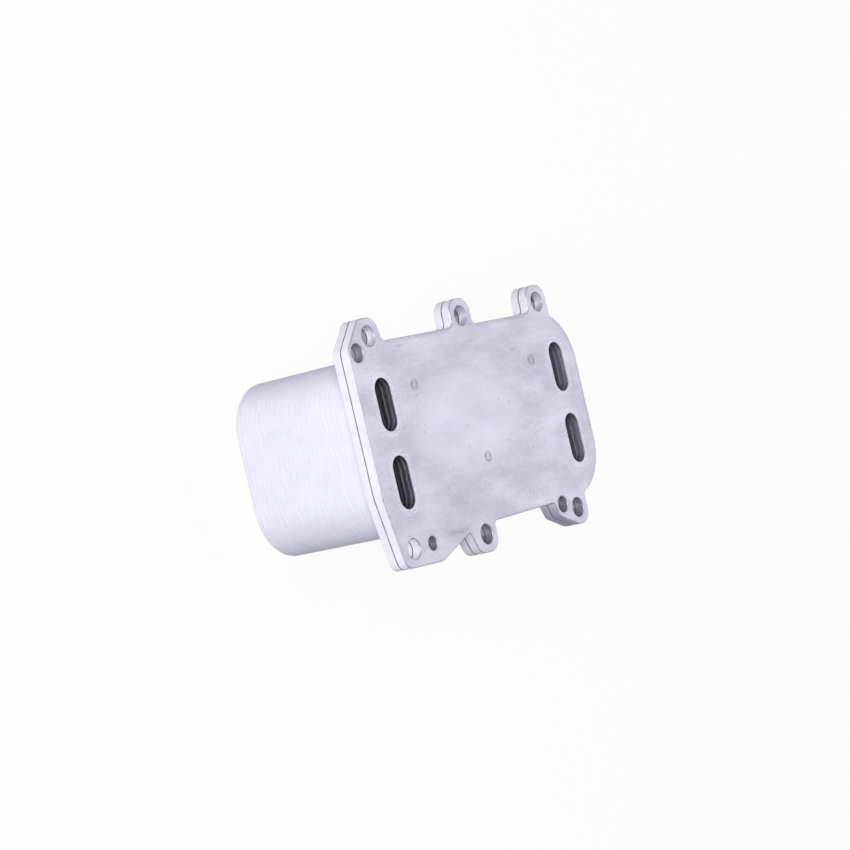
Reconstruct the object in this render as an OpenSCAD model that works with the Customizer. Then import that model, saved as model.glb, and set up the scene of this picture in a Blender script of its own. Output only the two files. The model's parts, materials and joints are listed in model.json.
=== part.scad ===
// Engine oil cooler of the stacked plate kind, brazed from aluminium sheet.
// Z = 0 is the mounting face, the core hangs below it, and the origin is the centre of the four ports.

/* [Flange] */
// Thickness of the mounting plate that seals to the engine
mounting_t = 3.5; // [2.5:0.1:6]
// Thickness of the backing plate behind it
backing_t = 3.5; // [2.5:0.1:6]
// X of the flange's straight left edge
flange_left = -67.8; // [-70:0.1:-67]
// X of the flange's right edge
flange_right = 66.6; // [66:0.1:70]
// Y of the flange's upper edge, between its lugs
flange_top = 34.8; // [33.5:0.1:36]
// Y of the flange's lower edge, between its lugs
flange_bottom = -34.4; // [-35.5:0.1:-33.5]
// Radius of the flange's right end
end_r = 20; // [17:0.5:22]
// From a bolt's centre to the edge of its lug
lug_r = 6.3; // [5.6:0.1:7]
// Corner radius of a lug
lug_corner_r = 5; // [3:0.1:5.5]
// Fillet where a lug runs into the straight edge
lug_fillet = 2; // [1:0.1:2.5]

/* [Bolt and locating holes] */
// Clearance hole for each fixing bolt
bolt_d = 7; // [5.5:0.1:8]
// Upper left locating hole
locate_upper_d = 6.4; // [5:0.1:7]
// Lower right locating hole
locate_lower_d = 5.8; // [4.5:0.1:6.5]
// Lower left alignment hole
align_d = 4.8; // [4:0.1:6]

/* [Ports] */
// From the core's end to the middle of its ports
port_inset = 10.05; // [9.5:0.05:12]
// Distance between the two ports of one end
port_dy = 26.8; // [26:0.1:28]
// Width of a port slot
port_w = 8; // [6:0.1:8.5]
// Length of a port slot from end to end
port_l = 18; // [14:0.1:18.5]
// Depth of the stamped marks in the mounting face
mark_depth = 0.12; // [0.05:0.01:0.3]

/* [Core] */
// Length of the core over the plates' rims
core_l = 128; // [126:0.5:132]
// Width of the core over the plates' rims
core_w = 61.8; // [60.6:0.1:63]
// Corner radius of the core over the rims
core_r = 18; // [16:0.1:18.4]
// Number of dished plates in the stack
plate_count = 22; // [4:2:22]
// Rise from one dished plate to the next
plate_pitch = 2.25; // [2:0.05:3]
// Sheet thickness of a dished plate
sheet_t = 0.5; // [0.4:0.05:0.6]
// How far a dished plate's rim laps over the plate above
rim_lap = 0.6; // [0.4:0.05:0.8]
// Bevel of each rim's shoulder, which leaves a fine groove round the core
rim_groove = 0.15; // [0.05:0.05:0.2]
// Width of the flat land that seals round a closed port
land_w = 1.5; // [1:0.1:1.8]
// Thickness of the plate that closes the far end
end_t = 2.2; // [1.6:0.1:4]

/* [Fins] */
// Sheet thickness of the corrugated fins
fin_t = 0.2; // [0.15:0.05:0.3]
// Pitch of the oil fins' waves
oil_fin_pitch = 3; // [2.4:0.1:5]
// Pitch of the coolant fins' waves
coolant_fin_pitch = 4.5; // [3:0.1:6]
// Gap between a fin sheet and the lands round the ports
fin_gap = 1; // [0.5:0.1:2]

/* [Hidden] */
$fn = 96;
EPS = 0.01;
waste_margin = 0.5;
// Each arc crosses its straight edges by this much instead of grazing them
arc_over = 0.004;
ALUMINIUM = [0.80, 0.79, 0.86];
OIL_FIN_ALUMINIUM = [0.72, 0.70, 0.66];
COOLANT_FIN_ALUMINIUM = [0.66, 0.70, 0.74];

// Bolt holes, from the upper left lug round to the lower left one
bolt_holes = [[-55, 37.1], [0.2, 38.3], [49.4, 38.3], [45.6, -38.3], [-14, -38.1], [-56.8, -35.9]];
locate_upper = [-63, 32.2];
locate_lower = [36.4, -35.7];
align_hole = [-45.8, -35.8];

// Small ring marks stamped in the mounting face
stamp_marks = [[-36, 18], [37, 18], [-3, -12]];
stamp_outer_d = 4;
stamp_inner_d = 2.6;
// Rounding of the end plate's lower edge
end_edge_r = 1;
// Width of the band swept round the end plate's rim
end_band = 3;

flange_t = mounting_t + backing_t;
// Distance between the ports of the two ends
port_dx = core_l - 2 * port_inset;
passage_h = plate_pitch - sheet_t;
// The foot of a rim stands one sheet inside its top, so that it drops into the rim of the plate below
rim_depth = 2 * sheet_t;
stack_top = -flange_t;
stack_bottom = stack_top - plate_count * plate_pitch;
fin_half_l = port_dx / 2 - port_w / 2 - land_w - sheet_t - fin_gap;
fin_half_w = core_w / 2 - rim_depth - fin_gap;

function plate_z(i) = stack_top - i * plate_pitch;
function plate_name(i) = str(i % 2 == 1 ? "oil_plate_" : "coolant_plate_", i < 10 ? "0" : "", i);
function fin_name(i) = str(i % 2 == 1 ? "oil_fin_" : "coolant_fin_", i < 10 ? "0" : "", i);

// Slope of the shoulder beside the flange's right end, at its upper and at its lower side
upper_shoulder = 58.7;
lower_shoulder = 69.5;
function shoulder_y(a) = end_r * tan(a / 2) - end_r;
function on_shoulder(x, a, edge) =
    edge - end_r + (end_r - (x - flange_right + end_r) * cos(a)) / sin(a);

upper_left = bolt_holes[0];
upper_mid = bolt_holes[1];
upper_right = bolt_holes[2];
lower_right = bolt_holes[3];
lower_mid = bolt_holes[4];
lower_left = bolt_holes[5];
// Corners that leave a lug's plain square, each as an offset from its hole
boss_foot = -5.4;
boss_corner = [-3.2, -3.9];
lower_right_near = -1.5;
lower_right_base = 0.2 - lug_r;
upper_left_spread = 1;
upper_left_cut = -4;
upper_left_side = 1.3;
lower_left_cut = [-6, -6];
lower_left_base = [15, -6.8];
lower_mid_slope = [-9.5, 2.2];
lower_mid_spread = 0.6;
// Height at which the flange's straight left edge turns in
left_turn_y = -16;

// Corners of the flange as [x, y, radius], anticlockwise seen from the mounting face
flange_corners = [
    [lower_mid.x + lug_r, flange_bottom, lug_fillet],
    [locate_lower.x + boss_foot, flange_bottom, 1],
    [locate_lower.x + boss_corner.x, locate_lower.y + boss_corner.y, 3],
    [lower_right.x + lower_right_near, lower_right.y + lower_right_base, 6],
    [lower_right.x + lug_r, lower_right.y + lower_right_base, lug_corner_r],
    [lower_right.x + lug_r, -on_shoulder(lower_right.x + lug_r, lower_shoulder, -flange_bottom), lug_fillet],
    [flange_right, flange_bottom - shoulder_y(lower_shoulder), end_r],
    [flange_right, flange_top + shoulder_y(upper_shoulder), end_r],
    [upper_right.x + lug_r, on_shoulder(upper_right.x + lug_r, upper_shoulder, flange_top), lug_fillet],
    [upper_right.x + lug_r, upper_right.y + lug_r, lug_corner_r],
    [upper_right.x - lug_r, upper_right.y + lug_r, lug_corner_r],
    [upper_right.x - lug_r, flange_top, lug_fillet],
    [upper_mid.x + lug_r, flange_top, lug_fillet],
    [upper_mid.x + lug_r, upper_mid.y + lug_r, lug_corner_r],
    [upper_mid.x - lug_r, upper_mid.y + lug_r, lug_corner_r],
    [upper_mid.x - lug_r, flange_top, lug_fillet],
    [upper_left.x + lug_r + upper_left_spread, flange_top, lug_fillet],
    [upper_left.x + lug_r - upper_left_spread, upper_left.y + lug_r, lug_corner_r],
    [upper_left.x + upper_left_cut, upper_left.y + lug_r, 4],
    [flange_left, locate_upper.y + upper_left_side, 5],
    [flange_left, left_turn_y, 20],
    [lower_left.x + lower_left_cut.x, lower_left.y + lower_left_cut.y, 4],
    [lower_left.x + lower_left_base.x, lower_left.y + lower_left_base.y, 8],
    [lower_mid.x + lower_mid_slope.x, lower_mid.y + lower_mid_slope.y, 1],
    [lower_mid.x - lug_r + lower_mid_spread, lower_mid.y - lug_r, lug_corner_r],
    [lower_mid.x + lug_r, lower_mid.y - lug_r, lug_corner_r],
];

function unit(v) = v / norm(v);
function corner_at(c, i) = let (p = c[(i + len(c)) % len(c)]) [p.x, p.y];
function is_inside(c, i) =
    cross(corner_at(c, i) - corner_at(c, i - 1), corner_at(c, i + 1) - corner_at(c, i)) < 0;

// A corner's rounding: [sharp point, centre of the arc, where it leaves each edge]
function rounding(c, i) = let (
    p = corner_at(c, i),
    a = unit(corner_at(c, i - 1) - p),
    b = unit(corner_at(c, i + 1) - p),
    half = acos(a * b) / 2,
    r = c[i][2]
) [p, p + unit(a + b) * r / sin(half), p + a * r / tan(half), p + b * r / tan(half)];

// What an outside corner loses, run on a little past the edges
module corner_waste(c, i) {
    k = rounding(c, i);
    r = c[i][2];
    run_on = 1 + waste_margin / r;
    difference() {
        polygon([k[1], for (q = [k[2], k[0], k[3]]) k[1] + (q - k[1]) * run_on]);
        translate(k[1]) circle(r + arc_over);
    }
}

// The sharp outline, filled out to the arc's centre at each inside corner, with every corner then rounded
module rounded_outline(c) {
    corners = [0:len(c) - 1];
    difference() {
        polygon([
            for (i = corners) let (k = rounding(c, i)) each is_inside(c, i) ? [k[2], k[1], k[3]] : [k[0]]
        ]);
        for (i = corners) {
            if (is_inside(c, i)) translate(rounding(c, i)[1]) circle(c[i][2] + arc_over);
            else corner_waste(c, i);
        }
    }
}

// A slot with round ends, lengthwise along Y
module slot(w, l) {
    square([w, l - w], center = true);
    for (s = [-1, 1]) translate([0, s * (l - w) / 2]) circle(d = w);
}

// The slot that lies this far outside a port's wall
module port_slot(beyond = 0) {
    slot(port_w + 2 * beyond, port_l + 2 * beyond);
}

// One child at each port of the rows given: the upper row carries oil and the lower row coolant
module at_ports(rows = [-1, 1]) {
    for (side = [-1, 1], row = rows) translate([side * port_dx / 2, row * port_dy / 2]) children();
}

// A plate of the flange, pierced for its bolts, locating pins and ports
module flange_plate(t) {
    linear_extrude(t) difference() {
        rounded_outline(flange_corners);
        for (p = bolt_holes) translate(p) circle(d = bolt_d);
        translate(locate_upper) circle(d = locate_upper_d);
        translate(locate_lower) circle(d = locate_lower_d);
        translate(align_hole) circle(d = align_d);
        at_ports() port_slot();
    }
}

module mounting_plate() {
    color(ALUMINIUM) difference() {
        translate([0, 0, -mounting_t]) flange_plate(mounting_t);
        for (p = stamp_marks) translate([p.x, p.y, -mark_depth]) linear_extrude(mark_depth + EPS) difference() {
            circle(d = stamp_outer_d);
            circle(d = stamp_inner_d);
        }
    }
}

module backing_plate() {
    color(ALUMINIUM) translate([0, 0, -flange_t]) flange_plate(backing_t);
}

// Sweeps a profile round the core, its X measured outward from the core's outline and its Y upward
module round_the_core() {
    for (k = [0:3]) rotate(90 * k) {
        reach = k % 2 == 0 ? [core_l, core_w] / 2 : [core_w, core_l] / 2;
        straight = reach.y - core_r;
        translate([reach.x - core_r, straight, 0]) rotate_extrude(angle = 90) translate([core_r, 0]) children();
        translate([reach.x, straight, 0]) rotate([90, 0, 0]) linear_extrude(2 * straight) children();
    }
}

// The core's outline drawn in by a distance
module core_outline(inset) {
    x = core_l / 2 - inset;
    y = core_w / 2 - inset;
    r = core_r - inset;
    rounded_outline([[x, -y, r], [x, y, r], [-x, y, r], [-x, -y, r]]);
}

// The section of a rim: a foot, and one sheet further out a wall up to the height h
module rim_profile(h) {
    polygon([
        [-rim_depth, 0], [-sheet_t, 0], [-sheet_t, rim_lap], [-rim_groove, rim_lap], [0, rim_lap + rim_groove],
        [0, h], [-sheet_t, h], [-sheet_t, rim_lap + sheet_t], [-rim_depth, rim_lap + sheet_t]
    ]);
}

// A dished plate: the two ports of the row that its passage shuts out stand up to seal on the plate above
module dished_plate(i) {
    shut_row = i % 2 == 1 ? [-1] : [1];
    color(ALUMINIUM) translate([0, 0, plate_z(i)]) difference() {
        union() {
            linear_extrude(sheet_t) core_outline((rim_depth + sheet_t) / 2);
            round_the_core() rim_profile(min(plate_pitch + rim_lap, i * plate_pitch));
            at_ports(shut_row) linear_extrude(plate_pitch) port_slot(land_w + sheet_t);
        }
        at_ports(shut_row) translate([0, 0, -EPS]) linear_extrude(passage_h + EPS) port_slot(land_w);
        at_ports() translate([0, 0, -EPS]) linear_extrude(plate_pitch + 2 * EPS) port_slot();
    }
}

// The section of a corrugated sheet: waves of a pitch, as high as the passage
module wave_profile(pitch) {
    waves = floor(2 * fin_half_w / pitch);
    h = passage_h;
    half_t = fin_t / 2;
    start = -waves * pitch / 2;
    polygon(concat(
        [for (k = [0:waves - 1]) let (y = start + k * pitch, up = y + pitch / 2, down = y + pitch)
            each [[y + half_t, fin_t], [up - half_t, fin_t], [up - half_t, h], [down + half_t, h]]],
        [for (k = [waves - 1:-1:0]) let (y = start + k * pitch, up = y + pitch / 2, down = y + pitch)
            each [[down + half_t, 0], [down - half_t, 0], [down - half_t, h - fin_t], [up + half_t, h - fin_t],
                [up + half_t, 0], [y + half_t, 0]]]
    ));
}

// A fin sheet brazed between a plate's floor and the plate above it, its channels along the core
module corrugated_fin(i) {
    oil = i % 2 == 1;
    pitch = oil ? oil_fin_pitch : coolant_fin_pitch;
    color(oil ? OIL_FIN_ALUMINIUM : COOLANT_FIN_ALUMINIUM) translate([-fin_half_l, 0, plate_z(i) + sheet_t])
        rotate([90, 0, 90]) linear_extrude(2 * fin_half_l) wave_profile(pitch);
}

// The thick plate that closes the stack, with a rim of its own outside the foot of the last dished plate
module end_plate() {
    color(ALUMINIUM) translate([0, 0, stack_bottom]) {
        translate([0, 0, -end_t]) linear_extrude(end_t) core_outline(end_band / 2);
        round_the_core() polygon(concat(
            [[-end_band, 0], [-end_band, -end_t]],
            [for (a = [-90:22.5:0]) [end_edge_r * (cos(a) - 1), end_edge_r * (1 + sin(a)) - end_t]],
            [[0, rim_lap], [-sheet_t, rim_lap], [-sheet_t, 0]]
        ));
    }
}

mounting_plate();
backing_plate();
for (i = [1:plate_count]) {
    dished_plate(i);
    corrugated_fin(i);
}
end_plate();
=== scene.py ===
import json
import math

import bmesh
import bpy
from mathutils import Matrix, Vector


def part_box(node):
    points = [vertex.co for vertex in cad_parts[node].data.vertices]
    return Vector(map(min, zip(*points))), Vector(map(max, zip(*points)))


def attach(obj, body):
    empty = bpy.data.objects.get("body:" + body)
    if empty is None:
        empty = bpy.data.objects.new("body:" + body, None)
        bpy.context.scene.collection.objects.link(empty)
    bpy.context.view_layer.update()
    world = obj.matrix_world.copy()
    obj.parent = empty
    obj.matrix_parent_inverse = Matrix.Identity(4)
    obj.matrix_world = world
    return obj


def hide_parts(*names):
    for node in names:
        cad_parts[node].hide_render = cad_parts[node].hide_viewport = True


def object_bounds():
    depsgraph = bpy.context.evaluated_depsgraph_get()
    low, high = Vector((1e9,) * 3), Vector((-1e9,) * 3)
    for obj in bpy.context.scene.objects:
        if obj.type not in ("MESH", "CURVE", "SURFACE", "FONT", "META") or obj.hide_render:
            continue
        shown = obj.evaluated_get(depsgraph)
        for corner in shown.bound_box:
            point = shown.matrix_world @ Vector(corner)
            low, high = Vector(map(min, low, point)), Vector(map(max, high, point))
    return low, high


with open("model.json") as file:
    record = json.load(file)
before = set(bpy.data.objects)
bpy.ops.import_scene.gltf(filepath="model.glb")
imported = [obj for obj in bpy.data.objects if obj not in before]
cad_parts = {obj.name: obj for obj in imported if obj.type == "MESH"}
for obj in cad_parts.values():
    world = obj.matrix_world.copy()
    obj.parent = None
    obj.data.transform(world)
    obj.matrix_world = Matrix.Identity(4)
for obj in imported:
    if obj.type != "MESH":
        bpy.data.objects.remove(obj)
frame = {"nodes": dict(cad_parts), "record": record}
cad_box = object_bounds()

# The camera looks down on the mounting face from beyond the flange's straight end. It is
# rolled, so that the core lies to the left and the flange's length runs up to the right.
FOCAL_PX = 2712
IMAGE_PX = 850
SENSOR_MM = 36
CAMERA_AT = Vector((-0.78093, 0.00636, 0.54731))
CAMERA_RIGHT = Vector((0.57577, -0.22628, 0.78568))
CAMERA_UP = Vector((0.13610, 0.97406, 0.18079))
NEAREST_SEEN = 0.05
FARTHEST_SEEN = 20
lens = bpy.data.cameras.new("camera")
lens.sensor_width = SENSOR_MM
lens.lens = SENSOR_MM * FOCAL_PX / IMAGE_PX
lens.clip_start = NEAREST_SEEN
lens.clip_end = FARTHEST_SEEN
camera = bpy.data.objects.new("camera", lens)
camera.matrix_world = Matrix.Translation(CAMERA_AT) @ Matrix(
    (CAMERA_RIGHT, CAMERA_UP, CAMERA_RIGHT.cross(CAMERA_UP))
).transposed().to_4x4()
scene = bpy.context.scene
scene.collection.objects.link(camera)
scene.camera = camera
scene.view_settings.view_transform = "Standard"

# The cooler stands on the end plate of its core, on a board of white laminate. The camera and
# the metal's reflections see the board as plain white; a little of it is matt and takes the
# shadow.
BOARD_HALF = 4.0
BOARD_MATT = 0.08
BOARD_SEEN = "#fbfbfb"
BOARD_UNSEEN = "#9898ac"


def linear(colour_hex):
    """An sRGB hex colour as linear RGBA."""
    channels = [int(colour_hex[k:k + 2], 16) / 255 for k in (1, 3, 5)]
    return [c / 12.92 if c <= 0.04045 else ((c + 0.055) / 1.055) ** 2.4 for c in channels] + [1]


def add(tree, kind, inputs, **settings):
    """Adds a node with its settings. Each input is a value, a socket or another node, which
    feeds it from the first output that its settings leave in use."""
    node = tree.nodes.new("ShaderNode" + kind)
    for name, value in settings.items():
        setattr(node, name, value)
    for name, value in inputs.items():
        if isinstance(value, bpy.types.Node):
            value = next(output for output in value.outputs if output.enabled)
        if isinstance(value, bpy.types.NodeSocket):
            tree.links.new(value, node.inputs[name])
        else:
            node.inputs[name].default_value = value
    return node


table_z = cad_box[0][2]
board_mesh = bpy.data.meshes.new("table_board")
board_mesh.from_pydata(
    [(x * BOARD_HALF, y * BOARD_HALF, table_z) for x, y in ((-1, -1), (1, -1), (1, 1), (-1, 1))],
    [], [(0, 1, 2, 3)],
)
board = bpy.data.objects.new("table_board", board_mesh)
scene.collection.objects.link(board)
white_board = bpy.data.materials.new("white laminate table board")
white_board.use_nodes = True
tree = white_board.node_tree
tree.nodes.clear()
ray = add(tree, "LightPath", {})
seen = add(tree, "Math", {0: ray.outputs["Is Camera Ray"], 1: ray.outputs["Is Glossy Ray"]},
           operation="MAXIMUM")
seen = add(tree, "Math", {0: seen, 1: ray.outputs["Is Transmission Ray"]}, operation="MAXIMUM")
shown = add(tree, "Math", {0: seen, 1: 1 - BOARD_MATT}, operation="MULTIPLY")
laminate = add(tree, "Mix", {"Factor": seen, "A": linear(BOARD_UNSEEN), "B": linear(BOARD_SEEN)},
               data_type="RGBA")
matt = add(tree, "BsdfDiffuse", {"Color": laminate})
glow = add(tree, "Emission", {"Color": (1, 1, 1, 1), "Strength": 1})
surface = add(tree, "MixShader", {0: shown, 1: matt, 2: glow})
add(tree, "OutputMaterial", {"Surface": surface})
board_mesh.materials.append(white_board)

# The studio is an even pale dome with two softboxes: a key beyond the core's end and above the
# camera's line, and a wide one over the other end, which the sealing face mirrors softly.
DOME_COLOUR = "#d3d0f5"
DOME_STRENGTH = 0.15
dome = bpy.data.worlds.new("studio dome")
scene.world = dome
dome.use_nodes = True
dome.node_tree.nodes["Background"].inputs["Color"].default_value = linear(DOME_COLOUR)
dome.node_tree.nodes["Background"].inputs["Strength"].default_value = DOME_STRENGTH


def softbox(name, place, watts, side):
    """A square softbox aimed at the middle of the cooler."""
    lamp = bpy.data.lights.new(name, "AREA")
    lamp.energy = watts
    lamp.size = side
    box = bpy.data.objects.new(name, lamp)
    box.location = place
    aim = Vector((0, 0, table_z / 2)) - Vector(place)
    box.rotation_euler = aim.to_track_quat("-Z", "Y").to_euler()
    scene.collection.objects.link(box)


softbox("key_softbox", (-1.25, 0.15, 0.72), watts=22.8, side=0.9)
softbox("wide_softbox", (1.05, 0.1, 0.95), watts=11, side=1.5)

# The flange is two plates of 3.5 mm aluminium blanked to one outline, laid face to face and
# brazed together. Blanking rolls their rims over a little, and the joint is a fine groove.
MM = 0.001
STAMPS_AT = ((-36 * MM, 18 * MM), (37 * MM, 18 * MM), (-3 * MM, -12 * MM))
STAMP_REACH = 3 * MM
PORT_HALF_WIDTH = 4 * MM
PORT_HALF_STRAIGHT = 5 * MM
mounts = frame["record"]["mounts"]
holes = [(m["name"], m["pos_m"], m["dims"]["r_mm"] * MM) for m in mounts if m["kind"] == "bore"]
ports = [m["pos_m"] for m in mounts if m["kind"] == "other"]


def beyond_a_port(at):
    """Distance from the wall of the nearest port slot, less than zero inside the slot."""
    return min(
        math.hypot(at.x - port[0], max(abs(at.y - port[1]) - PORT_HALF_STRAIGHT, 0))
        for port in ports
    ) - PORT_HALF_WIDTH


def near_a_stamp(at):
    """Whether a point of the flange is on one of the small round stamps."""
    return any(math.hypot(at.x - x, at.y - y) < STAMP_REACH for x, y in STAMPS_AT)


def bare_metal(name, metallic, roughness=0.5):
    """A bare metal, and the place on it that its pattern's nodes start from."""
    material = bpy.data.materials.new(name)
    material.use_nodes = True
    shader = material.node_tree.nodes["Principled BSDF"]
    shader.inputs["Metallic"].default_value = metallic
    shader.inputs["Roughness"].default_value = roughness
    place = add(material.node_tree, "TexCoord", {}).outputs["Object"]
    return material, material.node_tree, shader, place


def finish_metal(tree, shader, colour=None, roughness=None, height=None):
    """Feeds a metal's patterns to its shader; the height is in metres."""
    if colour:
        tree.links.new(colour.outputs["Result"], shader.inputs["Base Color"])
    if roughness:
        tree.links.new(roughness.outputs["Result"], shader.inputs["Roughness"])
    if height:
        relief = add(tree, "Bump", {"Height": height, "Distance": 1})
        tree.links.new(relief.outputs["Normal"], shader.inputs["Normal"])


# The sealing face is rolled plate skimmed flat: matt and grey, smeared lengthwise by wiping and
# handling, and flecked. Its real grain is too fine to show, so the flecks are drawn coarser.
SMEAR_LENGTH = 30 * MM
SMEAR_WIDTH = 12 * MM
SMEAR_TURN = 0.12
FLECK_LENGTH = 1.6 * MM
FLECK_WIDTH = 0.8 * MM
FLECK_HEIGHT = 0.012 * MM
skimmed, tree, shader, place = bare_metal("skimmed aluminium sealing face", metallic=0.5)
smears_at = add(tree, "Mapping", {"Vector": place, "Rotation": (0, 0, SMEAR_TURN),
                                  "Scale": (1 / SMEAR_LENGTH, 1 / SMEAR_WIDTH, 0)})
smears = add(tree, "TexNoise", {"Vector": smears_at, "Scale": 1, "Detail": 5, "Roughness": 0.62})
smeared = add(tree, "MapRange", {"Value": smears, "From Min": 0.3, "From Max": 0.7})
flecks_at = add(tree, "Mapping", {"Vector": place,
                                  "Scale": (1 / FLECK_LENGTH, 1 / FLECK_WIDTH, 0)})
flecks = add(tree, "TexNoise", {"Vector": flecks_at, "Scale": 1, "Detail": 2})
flecked = add(tree, "MapRange", {"Value": flecks, "From Min": 0.3, "From Max": 0.7})
tone = add(tree, "Math", {0: smeared, 1: 0.75}, operation="MULTIPLY")
tone = add(tree, "Math", {0: flecked, 1: 0.25, 2: tone}, operation="MULTIPLY_ADD")
face_colour = add(tree, "Mix", {"Factor": tone, "A": linear("#bbb9c5"), "B": linear("#d9d7e4")},
                  data_type="RGBA")

# Its middle is painted paler as a soft reflection, in an oval whose edge the smears break up.
SHEEN_AT = (-9.1 * MM, 1.9 * MM)
SHEEN_HALF = (35 * MM, 19 * MM)
oval = add(tree, "Mapping", {
    "Vector": place,
    "Location": (-SHEEN_AT[0] / SHEEN_HALF[0], -SHEEN_AT[1] / SHEEN_HALF[1], 0),
    "Scale": (1 / SHEEN_HALF[0], 1 / SHEEN_HALF[1], 0),
})
from_middle = add(tree, "VectorMath", {0: oval}, operation="LENGTH")
broken_up = add(tree, "Math", {0: smears, 1: 1.6, 2: from_middle}, operation="MULTIPLY_ADD")
painted_sheen = add(tree, "MapRange", {"Value": broken_up, "From Min": 1.5, "From Max": 1.8,
                                "To Min": 0.55, "To Max": 0}, interpolation_type="SMOOTHSTEP")
face_colour = add(tree, "Mix", {"Factor": painted_sheen, "A": face_colour, "B": linear("#dddbe9")},
                  data_type="RGBA")

# A ring coined round each port is paler, and grime lies in patches along the ring's edge. It
# is measured from the slot's middle line, with all four ports folded onto one.
RING_REACH = 6.2 * MM
RING_END = 7 * MM
RING_EDGE = (RING_REACH + RING_END) / 2
RING_EDGE_HALF = 0.45 * MM
RING_HEIGHT = 0.03 * MM
port_corner = (abs(ports[0][0]), abs(ports[0][1]), 0)
folded = add(tree, "VectorMath", {0: place}, operation="ABSOLUTE")
folded = add(tree, "VectorMath", {0: folded, 1: port_corner}, operation="SUBTRACT")
folded = add(tree, "VectorMath", {0: folded}, operation="ABSOLUTE")
folded = add(tree, "VectorMath", {0: folded, 1: (0, PORT_HALF_STRAIGHT, 0)}, operation="SUBTRACT")
folded = add(tree, "VectorMath", {0: folded, 1: (0, 0, 0)}, operation="MAXIMUM")
folded = add(tree, "VectorMath", {0: folded, 1: (1, 1, 0)}, operation="MULTIPLY")
from_port = add(tree, "VectorMath", {0: folded}, operation="LENGTH")
ring = add(tree, "MapRange", {"Value": from_port, "From Min": RING_REACH, "From Max": RING_END,
                              "To Min": 1, "To Max": 0}, interpolation_type="SMOOTHSTEP")
ring_tint = add(tree, "Math", {0: ring, 1: flecked}, operation="MULTIPLY")
ring_tint = add(tree, "Math", {0: ring_tint, 1: 0.45}, operation="MULTIPLY")
face_colour = add(tree, "Mix", {"Factor": ring_tint, "A": face_colour, "B": linear("#e6e4f2")},
                  data_type="RGBA")
ring_edge = add(tree, "Math", {0: from_port, 1: RING_EDGE}, operation="SUBTRACT")
ring_edge = add(tree, "Math", {0: ring_edge}, operation="ABSOLUTE")
grime_and_edge_shade = add(tree, "MapRange", {"Value": ring_edge, "From Max": RING_EDGE_HALF,
                               "To Min": 0.4, "To Max": 0})
patches = add(tree, "MapRange", {"Value": smears, "From Min": 0.42, "From Max": 0.56})
grime_and_edge_shade = add(tree, "Math", {0: grime_and_edge_shade, 1: patches}, operation="MULTIPLY")

# Grime gathers round the stamps and round the holes that take no bolt.
STAMP_MIDDLE = 1.3 * MM
SMUDGE_WIDTH = 1.4 * MM
grimy_spots = [(x, y, STAMP_MIDDLE) for x, y in STAMPS_AT]
grimy_spots += [(middle[0], middle[1], r) for name, middle, r in holes
                if not name.startswith("bolt")]
for x, y, r in grimy_spots:
    from_spot = add(tree, "VectorMath", {0: place, 1: (x, y, 0)}, operation="DISTANCE")
    smudge = add(tree, "MapRange", {"Value": from_spot, "From Min": r,
                                    "From Max": r + SMUDGE_WIDTH, "To Min": 0.65, "To Max": 0})
    grime_and_edge_shade = add(tree, "Math", {0: grime_and_edge_shade, 1: smudge}, operation="MAXIMUM")

# Painted shade darkens the face's two long edges and its rounded end, but not the lugs, where the
# face runs on without an edge. A lug fades out between 8 and 12 mm from the middle of its hole.
EDGE_SHADE_WIDTH = 1.7 * MM
LUG_INNER = 8 * MM
LUG_OUTER = 12 * MM
LONG_EDGE_Y = 34.6 * MM
END_RADIUS = 20 * MM
end_corner = (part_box("mounting_plate")[1][0] - END_RADIUS, LONG_EDGE_Y - END_RADIUS, 0)
off_lugs = 1
for name, middle, r in holes:
    from_hole = add(tree, "VectorMath", {0: place, 1: (middle[0], middle[1], 0)},
                    operation="DISTANCE")
    off_hole = add(tree, "MapRange", {"Value": from_hole, "From Min": LUG_INNER,
                                      "From Max": LUG_OUTER})
    off_lugs = add(tree, "Math", {0: off_lugs, 1: off_hole}, operation="MINIMUM")
parts = add(tree, "SeparateXYZ", {0: place})
to_side = add(tree, "Math", {0: parts.outputs["Y"]}, operation="ABSOLUTE")
past_corner = add(tree, "CombineXYZ", {0: parts.outputs["X"], 1: to_side})
past_corner = add(tree, "VectorMath", {0: past_corner, 1: end_corner}, operation="SUBTRACT")
past_corner = add(tree, "VectorMath", {0: past_corner, 1: (0, 0, 0)}, operation="MAXIMUM")
from_corner = add(tree, "VectorMath", {0: past_corner}, operation="LENGTH")
from_edge = add(tree, "Math", {0: from_corner, 1: END_RADIUS}, operation="SUBTRACT")
from_edge = add(tree, "Math", {0: from_edge}, operation="ABSOLUTE")
painted_edge_shade = add(tree, "MapRange", {"Value": from_edge, "From Max": EDGE_SHADE_WIDTH,
                                "To Min": 1, "To Max": 0})
painted_edge_shade = add(tree, "Math", {0: painted_edge_shade, 1: off_lugs}, operation="MULTIPLY")
grime_and_edge_shade = add(tree, "Math", {0: grime_and_edge_shade, 1: painted_edge_shade}, operation="MAXIMUM")

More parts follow.
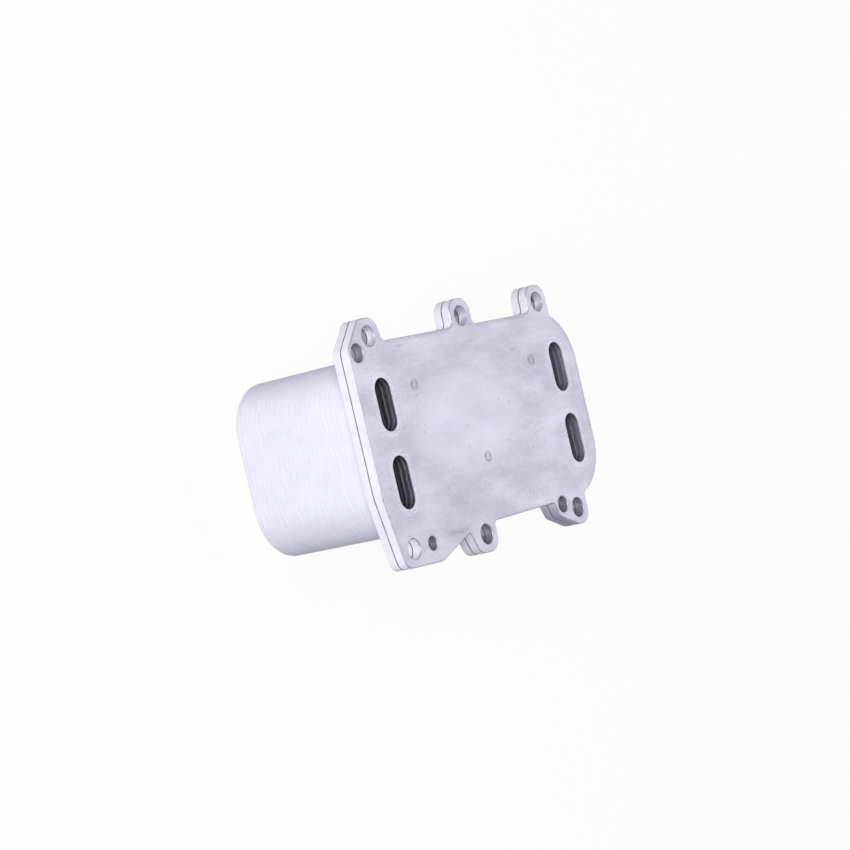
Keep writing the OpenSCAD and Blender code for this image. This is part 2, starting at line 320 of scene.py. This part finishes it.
# Handling has left scuffs. Each has its middle, its half length and its half width, in mm.
SCUFFS = ((-36, 14.3, 2.2, 0.5), (12, -8.3, 2.2, 0.5), (30, -8, 1.6, 0.4),
          (-57.5, -31.2, 2, 0.6), (-39, 32, 3.5, 0.6), (27.5, 23, 3, 0.7), (2, 29, 4, 0.6))
for x, y, length, width in SCUFFS:
    on_scuff = add(tree, "Mapping", {"Vector": place, "Location": (-x / length, -y / width, 0),
                                     "Scale": (1 / (length * MM), 1 / (width * MM), 0)})
    from_scuff = add(tree, "VectorMath", {0: on_scuff}, operation="LENGTH")
    scuff = add(tree, "MapRange", {"Value": from_scuff, "To Min": 0.9, "To Max": 0})
    grime_and_edge_shade = add(tree, "Math", {0: grime_and_edge_shade, 1: scuff}, operation="MAXIMUM")
grime_and_edge_shade = add(tree, "Math", {0: grime_and_edge_shade, 1: flecked}, operation="MULTIPLY")
# One darker colour paints the grime, the scuffs and the edges' painted shade.
face_colour = add(tree, "Mix", {"Factor": grime_and_edge_shade, "A": face_colour, "B": linear("#9c99a8")},
                  data_type="RGBA")

# Nicks and specks are the hearts of cells about 6 mm apart, each as large as the flecks allow.
NICK_SPACING = 6 * MM
cells = add(tree, "TexVoronoi", {"Vector": place, "Scale": 1 / NICK_SPACING})
nick_size = add(tree, "Math", {0: flecks, 1: 0.16}, operation="MULTIPLY")
nick_gap = add(tree, "Math", {0: cells, 1: nick_size}, operation="SUBTRACT")
nick = add(tree, "MapRange", {"Value": nick_gap, "From Min": -0.03, "From Max": 0.03,
                              "To Min": 0.35, "To Max": 0})
face_colour = add(tree, "Mix", {"Factor": nick, "A": face_colour, "B": linear("#8b8896")},
                  data_type="RGBA")
dullness = add(tree, "MapRange", {"Value": tone, "To Min": 0.58, "To Max": 0.44})
height = add(tree, "Math", {0: flecks, 1: FLECK_HEIGHT}, operation="MULTIPLY")
height = add(tree, "Math", {0: ring, 1: RING_HEIGHT, 2: height}, operation="MULTIPLY_ADD")
finish_metal(tree, shader, face_colour, dullness, height)

# The blanked edge is sheared metal: bright, with shear lines through the thickness. The real
# lines are too fine to show, so they are drawn 0.6 mm wide.
SHEAR_LINE_WIDTH = 0.6 * MM
SHEAR_LINE_LENGTH = 8 * MM
SHEAR_LINE_DEPTH = 0.012 * MM
EDGE_CLOUD = 4 * MM
sheared, tree, shader, place = bare_metal("blanked aluminium edge", metallic=0.3)
lines_at = add(tree, "Mapping", {
    "Vector": place,
    "Scale": (1 / SHEAR_LINE_WIDTH, 1 / SHEAR_LINE_WIDTH, 1 / SHEAR_LINE_LENGTH),
})
lines = add(tree, "TexNoise", {"Vector": lines_at, "Scale": 1, "Detail": 3})
clouds = add(tree, "TexNoise", {"Vector": place, "Scale": 1 / EDGE_CLOUD, "Detail": 3})
mottle = add(tree, "MapRange", {"Value": clouds, "From Min": 0.35, "From Max": 0.7})
edge_colour = add(tree, "Mix", {"Factor": mottle, "A": linear("#eae9f1"), "B": linear("#f2f1f7")},
                  data_type="RGBA")

# The lugs of one long side are painted darker as shade, most the one at the far end, and those
# of the other a little.
LOW_LUGS_Y = (-38 * MM, -31 * MM)
HIGH_LUGS_Y = (33 * MM, 42 * MM)
LUG_SHADE_GROWS_X = (-45 * MM, 25 * MM)
parts = add(tree, "SeparateXYZ", {0: place})
low = add(tree, "MapRange", {"Value": parts.outputs["Y"], "From Min": LOW_LUGS_Y[0],
                             "From Max": LOW_LUGS_Y[1], "To Min": 1, "To Max": 0})
far = add(tree, "MapRange", {"Value": parts.outputs["X"], "From Min": LUG_SHADE_GROWS_X[0],
                             "From Max": LUG_SHADE_GROWS_X[1]})
lug_shade_and_fin_film = add(tree, "Math", {0: low, 1: far}, operation="MULTIPLY")
high = add(tree, "MapRange", {"Value": parts.outputs["Y"], "From Min": HIGH_LUGS_Y[0],
                              "From Max": HIGH_LUGS_Y[1], "To Max": 0.18})
lug_shade_and_fin_film = add(tree, "Math", {0: lug_shade_and_fin_film, 1: high}, operation="MAXIMUM")
edge_colour = add(tree, "Mix", {"Factor": lug_shade_and_fin_film, "A": edge_colour, "B": linear("#9c99aa")},
                  data_type="RGBA")
dullness = add(tree, "MapRange", {"Value": lines, "To Min": 0.4, "To Max": 0.55})
height = add(tree, "Math", {0: lines, 1: SHEAR_LINE_DEPTH}, operation="MULTIPLY")
finish_metal(tree, shader, edge_colour, dullness, height)

# The rims that blanking rolled over are smoother than the face and are painted a little darker
# than it as shade, darkest round the far end.
WEAR_SPOT = 1.5 * MM
FAR_END_SHADE_X = (55 * MM, 63 * MM)
rolled, tree, shader, place = bare_metal("aluminium rim painted darker as shade", metallic=0.5, roughness=0.42)
wear = add(tree, "TexNoise", {"Vector": place, "Scale": 1 / WEAR_SPOT, "Detail": 3})
worn = add(tree, "MapRange", {"Value": wear, "From Min": 0.35, "From Max": 0.65})
rim_colour = add(tree, "Mix", {"Factor": worn, "A": linear("#b6b4c2"), "B": linear("#c9c7d4")},
                 data_type="RGBA")
parts = add(tree, "SeparateXYZ", {0: place})
far_end_shade = add(tree, "MapRange", {"Value": parts.outputs["X"], "From Min": FAR_END_SHADE_X[0],
                                "From Max": FAR_END_SHADE_X[1], "To Max": 0.75})
rim_colour = add(tree, "Mix", {"Factor": far_end_shade, "A": rim_colour, "B": linear("#817e8e")},
                 data_type="RGBA")
finish_metal(tree, shader, rim_colour)

# Four bolt holes have walls painted bright as if lit: three as deep as the first plate and one
# right through. The rest have walls painted grey as shade. The tool's rings in the walls are too
# fine to show, so they are drawn 0.5 mm wide.
HOLES_PAINTED_LIT = ("bolt_hole_upper_left", "bolt_hole_upper_middle", "bolt_hole_upper_right",
                "bolt_hole_lower_left")
HOLE_PAINTED_LIT_THROUGH = "bolt_hole_lower_left"
TOOL_RING_WIDTH = 0.5 * MM
TOOL_RING_LENGTH = 9 * MM
TOOL_RING_DEPTH = 0.01 * MM


def hole_wall(name, colour_hex, roughness, metallic):
    """A hole's wall, with rings round it from the tool that sized the hole."""
    material, tree, shader, place = bare_metal(name, metallic)
    shader.inputs["Base Color"].default_value = linear(colour_hex)
    rings_at = add(tree, "Mapping", {
        "Vector": place,
        "Scale": (1 / TOOL_RING_LENGTH, 1 / TOOL_RING_LENGTH, 1 / TOOL_RING_WIDTH),
    })
    rings = add(tree, "TexNoise", {"Vector": rings_at, "Scale": 1, "Detail": 2})
    dullness = add(tree, "MapRange", {"Value": rings, "To Min": roughness - 0.08,
                                      "To Max": roughness + 0.08})
    height = add(tree, "Math", {0: rings, 1: TOOL_RING_DEPTH}, operation="MULTIPLY")
    finish_metal(tree, shader, roughness=dullness, height=height)
    return material


lit_hole_wall = hole_wall("aluminium hole wall painted lit", "#f8f6ff", roughness=0.3, metallic=0.65)
shaded_hole_wall = hole_wall("aluminium hole wall painted in shade", "#aba8b8", roughness=0.35,
                       metallic=0.75)

# The ports' walls are painted dark, for the furnace's film and for painted shade deep in the
# channels, and lighter toward the flange's rounded end. The cutter that finished the slots stepped
# down 2.1 mm a pass, and each step shows as a paler line. At scale 1 a wave texture's bands lie
# tau / 20 apart.
CUTTER_STEP = 2.1 * MM
WAVE_SPACING = math.tau / 20
SCORE_LENGTH = 5 * MM
SCORE_WIDTH = 0.6 * MM
SCORE_DEPTH = 0.08 * MM
PORT_SHADE_EASES_X = (-45 * MM, 45 * MM)
shaded_port_wall, tree, shader, place = bare_metal("aluminium port wall painted dark", metallic=0.5)
steps = add(tree, "TexWave", {"Vector": place, "Scale": WAVE_SPACING / CUTTER_STEP,
                              "Distortion": 2, "Detail": 3, "Detail Scale": 2,
                              "Phase Offset": 1},
            wave_type="BANDS", bands_direction="Z")
scores_at = add(tree, "Mapping", {
    "Vector": place, "Scale": (1 / SCORE_LENGTH, 1 / SCORE_LENGTH, 1 / SCORE_WIDTH),
})
scores = add(tree, "TexNoise", {"Vector": scores_at, "Scale": 1, "Detail": 3})
scored = add(tree, "Math", {0: scores, 1: steps.outputs["Fac"]}, operation="MULTIPLY")
scored = add(tree, "MapRange", {"Value": scored, "From Min": 0.15, "From Max": 0.6})
wall_colour = add(tree, "Mix", {"Factor": scored, "A": linear("#4b4855"), "B": linear("#83808f")},
                  data_type="RGBA")
parts = add(tree, "SeparateXYZ", {0: place})
port_shade_eases = add(tree, "MapRange", {"Value": parts.outputs["X"], "From Min": PORT_SHADE_EASES_X[0],
                                 "From Max": PORT_SHADE_EASES_X[1], "To Max": 0.35})
wall_colour = add(tree, "Mix", {"Factor": port_shade_eases, "A": wall_colour, "B": linear("#a9a6ba")},
                  data_type="RGBA")
height = add(tree, "Math", {0: scored, 1: SCORE_DEPTH}, operation="MULTIPLY")
finish_metal(tree, shader, wall_colour, height=height)

# The joint's groove and the stamps' rings hold dark residue that comes and goes along them.
RESIDUE_RUN = 3 * MM
seam, tree, shader, place = bare_metal("brazed joint with residue", metallic=0.4, roughness=0.65)
runs = add(tree, "TexNoise", {"Vector": place, "Scale": 1 / RESIDUE_RUN, "Detail": 3})
residue = add(tree, "MapRange", {"Value": runs, "From Min": 0.35, "From Max": 0.7})
seam_colour = add(tree, "Mix", {"Factor": residue, "A": linear("#2f2c35"), "B": linear("#868390")},
                  data_type="RGBA")
finish_metal(tree, shader, seam_colour)

# Each face of the plates takes the finish of what made it. Its flatness is 1 where it lies level
# and 0 where it stands upright. It belongs to a hole's wall if its middle is within the reach.
FLANGE_FINISHES = (skimmed, sheared, rolled, lit_hole_wall, shaded_hole_wall, shaded_port_wall, seam)
MOUNTING_FACE_Z = 0
WALL_REACH = 0.25 * MM
FLAT_FACE = 0.9
SLOPING_FACE = 0.75


def flange_finish(face, on_rolled_rim, on_joint_rim, is_front):
    """The finish of one face of a flange plate."""
    at = face.calc_center_median()
    flatness = abs(face.normal.z)
    hole = next((name for name, middle, r in holes
                 if math.hypot(at.x - middle[0], at.y - middle[1]) < r + WALL_REACH), None)
    if beyond_a_port(at) < WALL_REACH and flatness < SLOPING_FACE:
        return shaded_port_wall
    if on_rolled_rim and is_front:
        return rolled
    if on_joint_rim or (near_a_stamp(at) and flatness < FLAT_FACE):
        return seam
    if flatness > FLAT_FACE:
        return skimmed
    # The listed bolt holes get the wall painted lit; the other holes get the wall painted in
    # shade.
    if hole in HOLES_PAINTED_LIT and (is_front or hole == HOLE_PAINTED_LIT_THROUGH):
        return lit_hole_wall
    return shaded_hole_wall if hole else sheared


# Rims are rounded off along every edge of their level that turns by more than 30 degrees, once
# the mesh's double points are merged and the seams across its flat faces are dissolved.
ROLLED_RIM = 0.42 * MM
JOINT_RIM = 0.2 * MM
RIM_SEGMENTS = 3
RIM_TURN = math.radians(30)
FLAT_TURN = math.radians(0.5)
SAME_LEVEL = 0.01 * MM
SAME_POINT = 0.001 * MM


def blanked_plate(node_name, rolled_z, joint_z):
    """The flange plate with its rims rolled over at one level and eased at the joint's."""
    piece = frame["nodes"][node_name].copy()
    piece.data = piece.data.copy()
    piece.name = node_name + "_blanked"
    scene.collection.objects.link(piece)
    piece.data.materials.clear()
    for finish in FLANGE_FINISHES:
        piece.data.materials.append(finish)
    plate = bmesh.new()
    plate.from_mesh(piece.data)
    bmesh.ops.remove_doubles(plate, verts=plate.verts, dist=SAME_POINT)
    bmesh.ops.dissolve_limit(plate, angle_limit=FLAT_TURN, verts=plate.verts, edges=plate.edges)
    rim_faces = {}
    for level, width in ((rolled_z, ROLLED_RIM), (joint_z, JOINT_RIM)):
        rims = [
            edge for edge in plate.edges
            if all(abs(v.co.z - level) < SAME_LEVEL for v in edge.verts)
            and edge.calc_face_angle(0) > RIM_TURN
            and not near_a_stamp(edge.verts[0].co)
        ]
        eased = bmesh.ops.bevel(plate, geom=rims, offset=width, offset_type="OFFSET",
                                segments=RIM_SEGMENTS, profile=0.5, affect="EDGES",
                                clamp_overlap=False)
        rim_faces[level] = set(eased["faces"])
    for face in plate.faces:
        face.smooth = True
        finish = flange_finish(face, face in rim_faces[rolled_z], face in rim_faces[joint_z],
                               rolled_z == MOUNTING_FACE_Z)
        face.material_index = FLANGE_FINISHES.index(finish)
    plate.to_mesh(piece.data)
    plate.free()
    piece.modifiers.new("flat_faces", "WEIGHTED_NORMAL").weight = 100
    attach(piece, "root")
    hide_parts(node_name)


joint_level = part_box("mounting_plate")[0][2]
blanked_plate("mounting_plate", MOUNTING_FACE_Z, joint_level)
blanked_plate("backing_plate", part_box("backing_plate")[0][2], joint_level)

# The core is a stack of dished plates pressed from thin sheet clad with braze metal, each rim
# lapped flush over the next. Outside they are bright and faintly mottled where the braze wetted
# them; inside, the passages are painted dark, for the furnace's film and for painted shade.
CORE_SKIN = 1.2 * MM
CORE_RADIUS = 18 * MM
BRAZE_CLOUD = 9 * MM
SCRATCH_LENGTH = 7 * MM
SCRATCH_WIDTH = 0.8 * MM
SCRATCHED_AND_SHADED_Y = (23 * MM, 31 * MM)
RIPPLE_LENGTH = 4 * MM
RIPPLE_HEIGHT = 0.015 * MM


def clad_sheet(name, inside_hex):
    """Pressed clad sheet, pale within a skin's depth of the core's outside."""
    material, tree, shader, place = bare_metal(name, metallic=0.15, roughness=0.55)
    clouds = add(tree, "TexNoise", {"Vector": place, "Scale": 1 / BRAZE_CLOUD, "Detail": 4})
    runs_at = add(tree, "Mapping", {
        "Vector": place, "Scale": (1 / SCRATCH_LENGTH, 1 / SCRATCH_LENGTH, 1 / SCRATCH_WIDTH),
    })
    runs = add(tree, "TexNoise", {"Vector": runs_at, "Scale": 1, "Detail": 2})
    mottle = add(tree, "Math", {0: clouds, 1: 0.4}, operation="MULTIPLY")
    mottle = add(tree, "Math", {0: runs, 1: 0.6, 2: mottle}, operation="MULTIPLY_ADD")
    mottle = add(tree, "MapRange", {"Value": mottle, "From Min": 0.3, "From Max": 0.7})
    colour = add(tree, "Mix", {"Factor": mottle, "A": linear("#e5e4ef"), "B": linear("#f3f2f9")},
                 data_type="RGBA")
    # Each lapped rim shows as a faint line that comes and goes.
    lap_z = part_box("coolant_plate_02")[0][2]
    pitch = lap_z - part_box("oil_plate_03")[0][2]
    laps = add(tree, "TexWave", {
        "Vector": place, "Scale": WAVE_SPACING / pitch, "Distortion": 0.8, "Detail": 2,
        "Phase Offset": math.pi - math.tau * lap_z / pitch,
    }, wave_type="BANDS", bands_direction="Z")
    lap_line = add(tree, "MapRange", {"Value": laps.outputs["Fac"], "From Min": 0.7})
    lap_line = add(tree, "Math", {0: lap_line, 1: mottle}, operation="MULTIPLY")
    lap_line = add(tree, "Math", {0: lap_line, 1: 0.25}, operation="MULTIPLY")
    colour = add(tree, "Mix", {"Factor": lap_line, "A": colour, "B": linear("#cbc9da")},
                 data_type="RGBA")
    # Handling has scratched the upper long side, and it is painted greyer there as shade.
    parts = add(tree, "SeparateXYZ", {0: place})
    upper = add(tree, "MapRange", {"Value": parts.outputs["Y"], "From Min": SCRATCHED_AND_SHADED_Y[0],
                                   "From Max": SCRATCHED_AND_SHADED_Y[1]})
    scratches_and_shade = add(tree, "MapRange", {"Value": runs, "From Min": 0.46, "From Max": 0.6,
                                       "To Min": 0.1, "To Max": 0.28})
    scratches_and_shade = add(tree, "Math", {0: scratches_and_shade, 1: upper}, operation="MULTIPLY")
    colour = add(tree, "Mix", {"Factor": scratches_and_shade, "A": colour, "B": linear("#a19eb2")},
                 data_type="RGBA")
    # Deeper than the skin it is the passages' colour: how far out each point lies, measured
    # from the middles of the core's corner arcs.
    half_length, half_width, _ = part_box("coolant_plate_02")[1]
    arcs_at = (half_length - CORE_RADIUS, half_width - CORE_RADIUS, 0)
    past_arcs = add(tree, "VectorMath", {0: place}, operation="ABSOLUTE")
    past_arcs = add(tree, "VectorMath", {0: past_arcs, 1: arcs_at}, operation="SUBTRACT")
    past_arcs = add(tree, "VectorMath", {0: past_arcs, 1: (0, 0, 0)}, operation="MAXIMUM")
    past_arcs = add(tree, "VectorMath", {0: past_arcs, 1: (1, 1, 0)}, operation="MULTIPLY")
    out_to = add(tree, "VectorMath", {0: past_arcs}, operation="LENGTH")
    inner = add(tree, "Math", {0: out_to, 1: CORE_RADIUS - CORE_SKIN}, operation="LESS_THAN")
    colour = add(tree, "Mix", {"Factor": inner, "A": colour, "B": linear(inside_hex)},
                 data_type="RGBA")
    ripple = add(tree, "TexNoise", {"Vector": place, "Scale": 1 / RIPPLE_LENGTH, "Detail": 1})
    height = add(tree, "Math", {0: ripple, 1: RIPPLE_HEIGHT}, operation="MULTIPLY")
    finish_metal(tree, shader, colour, height=height)
    return material


# The plates' dark inside colour is the furnace's film and painted shade of the closed passages.
pressed = clad_sheet("pressed clad aluminium sheet", "#4a4752")
for name, node in frame["nodes"].items():
    if name.startswith(("oil_plate", "coolant_plate")):
        node.material_slots[0].material = pressed

# The fins are thin sheet folded into waves and brazed between the plates. They are smooth, and
# dark with the furnace's film and with painted shade of the closed passages.
FILM_PATCH = 3 * MM
folded_fin, tree, shader, place = bare_metal("folded aluminium fin", metallic=0.9, roughness=0.4)
lug_shade_and_fin_film = add(tree, "TexNoise", {"Vector": place, "Scale": 1 / FILM_PATCH, "Detail": 2})
fin_colour = add(tree, "Mix", {"Factor": lug_shade_and_fin_film, "A": linear("#55525e"), "B": linear("#8b8894")},
                 data_type="RGBA")
finish_metal(tree, shader, fin_colour)
for name, node in frame["nodes"].items():
    if "_fin_" in name:
        node.material_slots[0].material = folded_fin

# The end plate is thicker sheet with a rounded rim, brazed under the last dished plate. It is
# as pale underneath as the core is outside.
end_sheet = clad_sheet("pressed aluminium end plate", "#e3e2ee")
frame["nodes"]["end_plate"].material_slots[0].material = end_sheet
